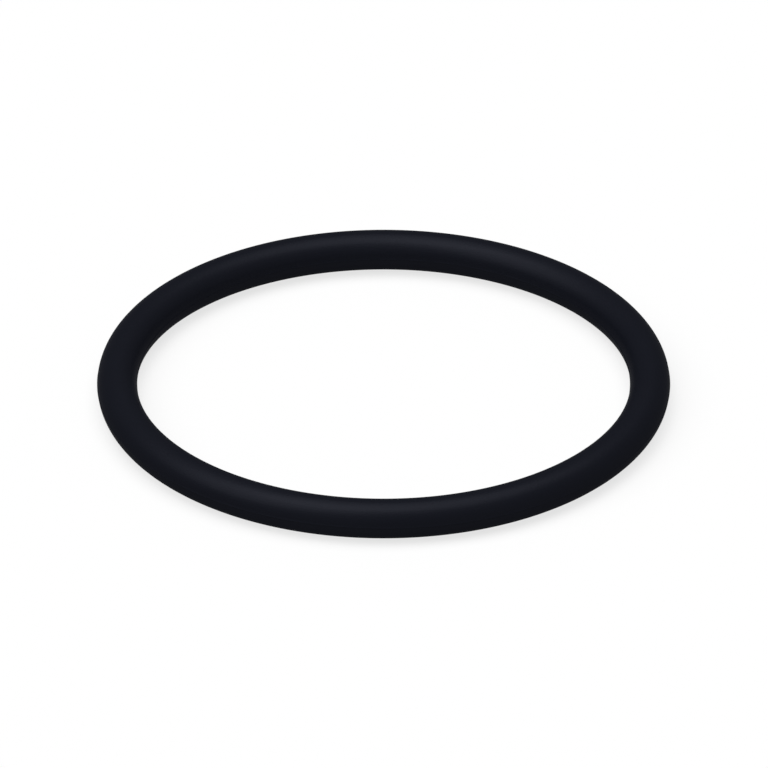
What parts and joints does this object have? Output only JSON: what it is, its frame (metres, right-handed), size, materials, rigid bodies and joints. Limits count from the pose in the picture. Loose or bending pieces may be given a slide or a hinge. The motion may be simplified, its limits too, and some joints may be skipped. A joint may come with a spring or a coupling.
{
  "type": "rubber o-ring",
  "caption": "Plain round o-ring of black rubber with a circular section and a fine moulded parting line, lying flat.",
  "frame": {"origin": "centre of the ring, on its axis and half way up the round section", "axes": "+Z along the ring's axis, upwards as it lies flat; the ring is round, so +X and +Y are any two square directions in its plane"},
  "size_m": [0.043, 0.043, 0.003],
  "materials": {
    "rubber": "satin"
  },
  "bodies": {
    "root": {"o_ring": "rubber"}
  },
  "joints": []
}
